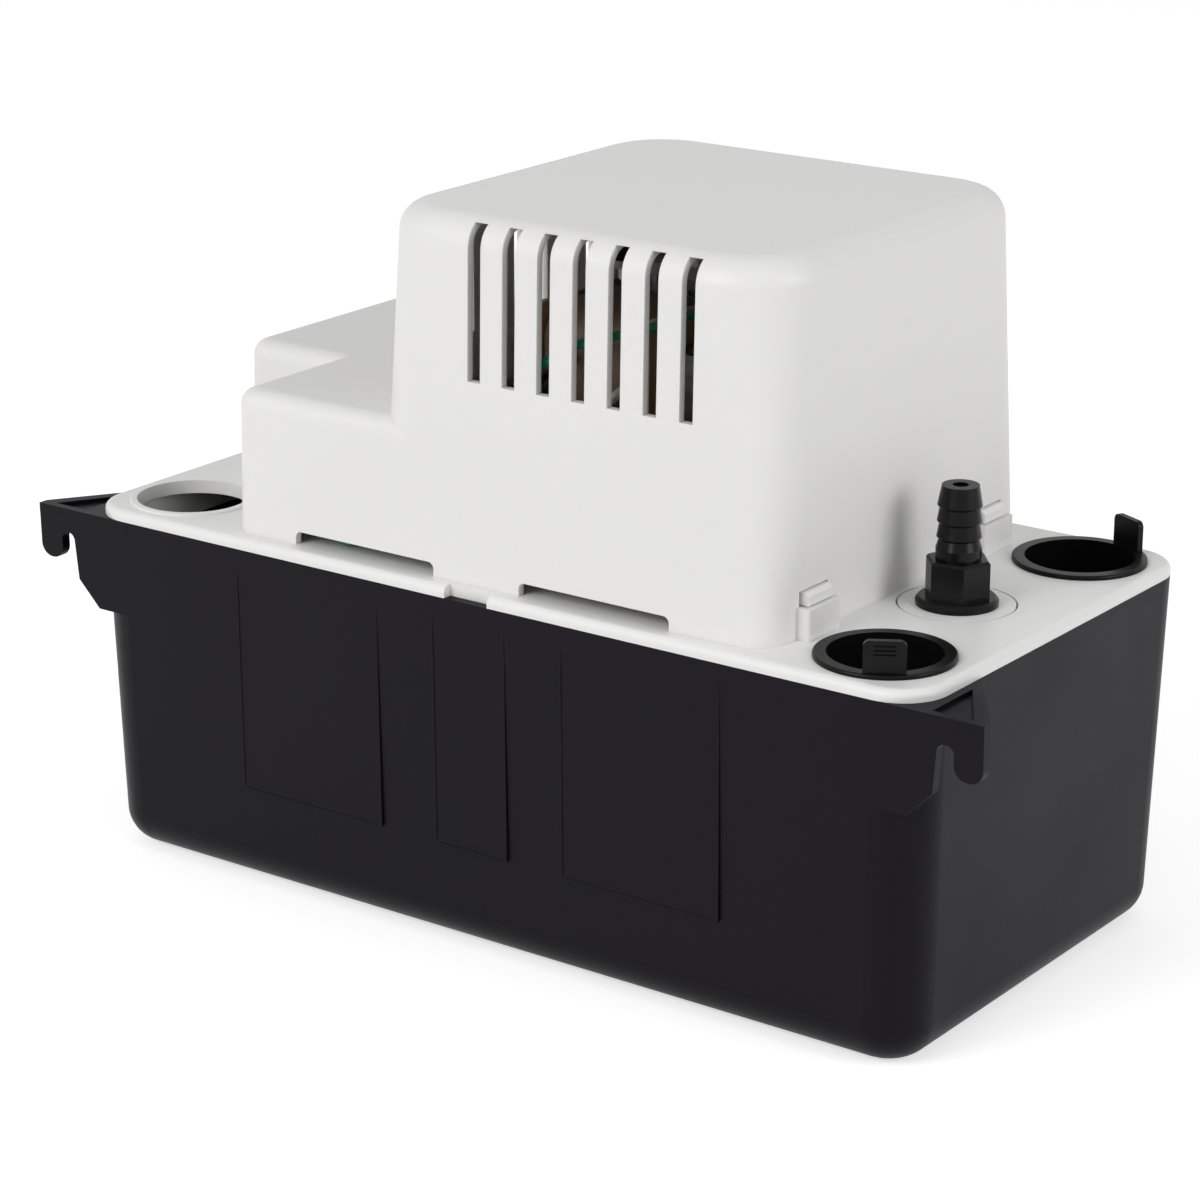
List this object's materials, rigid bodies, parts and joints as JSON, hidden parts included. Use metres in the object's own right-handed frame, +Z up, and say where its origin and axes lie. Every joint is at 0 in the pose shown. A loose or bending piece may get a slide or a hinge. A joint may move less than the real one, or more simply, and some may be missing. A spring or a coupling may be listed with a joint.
{
  "type": "condensate pump",
  "caption": "Condensate pump: drafted reservoir with hanging ears, a deck with inlets and a barbed outlet, and a vented motor cover.",
  "frame": {"origin": "centre of the reservoir's underside, on the surface that it stands on", "axes": "+X along the length towards the discharge fitting, -Y the long side with the hanging ears, +Z up"},
  "size_m": [0.28, 0.1256, 0.1803],
  "materials": {
    "black_lead": "insulated wire",
    "black_plastic": "satin moulded",
    "bobbin_nylon": "moulded nylon",
    "bright_steel": "plated",
    "bronze": "sintered",
    "clear_tube": "extruded vinyl",
    "copper": "drawn",
    "float_foam": "fine closed-cell",
    "green_lead": "insulated wire",
    "grey_plastic": "moulded",
    "lamination_steel": "stamped stack, varnished",
    "red_button": "moulded",
    "rotor_steel": "turned",
    "rubber": "moulded",
    "white_acetal": "moulded",
    "white_lead": "insulated wire",
    "white_plastic": "satin moulded",
    "winding_tape": "varnished wrap",
    "zinc_bracket": "die cast"
  },
  "bodies": {
    "tank": {"tank": "black_plastic"},
    "head": {"check_valve_body": "black_plastic", "check_valve_seal": "rubber", "check_valve_seat": "white_acetal", "coil_bobbin": "bobbin_nylon", "cord_gland": "black_plastic", "deck": "white_plastic", "discharge_adapter": "white_plastic", "discharge_tube": "clear_tube", "float_pivot_pin": "bright_steel", "intake_cover": "grey_plastic", "lead_black": "black_lead", "lead_green": "green_lead", "lead_white": "white_lead", "lower_bearing": "bronze", "lower_bearing_bracket": "zinc_bracket", "motor_coil": "winding_tape", "motor_cover": "white_plastic", "motor_screws": "bright_steel", "pump_column": "grey_plastic", "run_switch": "black_plastic", "safety_switch": "black_plastic", "shading_rings": "copper", "stator_laminations": "lamination_steel", "switch_bracket": "zinc_bracket", "switch_screws": "bright_steel", "switch_terminals": "bright_steel", "upper_bearing": "bronze", "upper_bearing_bracket": "zinc_bracket", "volute_housing": "grey_plastic", "volute_screws": "bright_steel"},
    "spinner": {"motor_shaft": "bright_steel", "rotor": "rotor_steel", "cooling_fan": "black_plastic", "impeller": "grey_plastic"},
    "float_swing_arm": {"float": "float_foam", "float_arm": "black_plastic"},
    "switch_levers": {"run_switch_lever": "bright_steel", "safety_switch_lever": "bright_steel"},
    "switch_buttons": {"run_switch_button": "red_button", "safety_switch_button": "red_button"},
    "front_plug": {"inlet_plug_front": "black_plastic"},
    "rear_plug": {"inlet_plug_rear": "black_plastic"},
    "valve_ball": {"check_ball": "white_acetal"}
  },
  "joints": [
    {"name": "deck_lift", "type": "slide", "parent": "tank", "child": "head", "axis": [0, 0, 1], "range_m": [0, 0.11]},
    {"name": "motor_spin", "type": "hinge", "parent": "head", "child": "spinner", "pos_m": [0.024, 0.006, 0.12], "axis": [0, 0, 1], "continuous": true},
    {"name": "float_swing", "type": "hinge", "parent": "head", "child": "float_swing_arm", "pos_m": [-0.044, 0, 0.0865], "axis": [0, 1, 0], "range_deg": [0, 16]},
    {"name": "lever_swing", "type": "hinge", "parent": "head", "child": "switch_levers", "pos_m": [-0.0364, 0, 0.1198], "axis": [0, 1, 0], "range_deg": [-19, 0]},
    {"name": "button_press", "type": "slide", "parent": "head", "child": "switch_buttons", "axis": [1, 0, 0], "range_m": [0, 0.002]},
    {"name": "front_plug_lift", "type": "slide", "parent": "head", "child": "front_plug", "axis": [0, 0, 1], "range_m": [0, 0.03]},
    {"name": "rear_plug_lift", "type": "slide", "parent": "head", "child": "rear_plug", "axis": [0, 0, 1], "range_m": [0, 0.03]},
    {"name": "ball_lift", "type": "slide", "parent": "head", "child": "valve_ball", "axis": [0, 0, 1], "range_m": [0, 0.0026]}
  ],
  "couplings": [
    {"joint": "lever_swing", "follows": "float_swing", "ratio": -1.12},
    {"joint": "button_press", "follows": "float_swing", "m_per_rad": 0.006446}
  ]
}
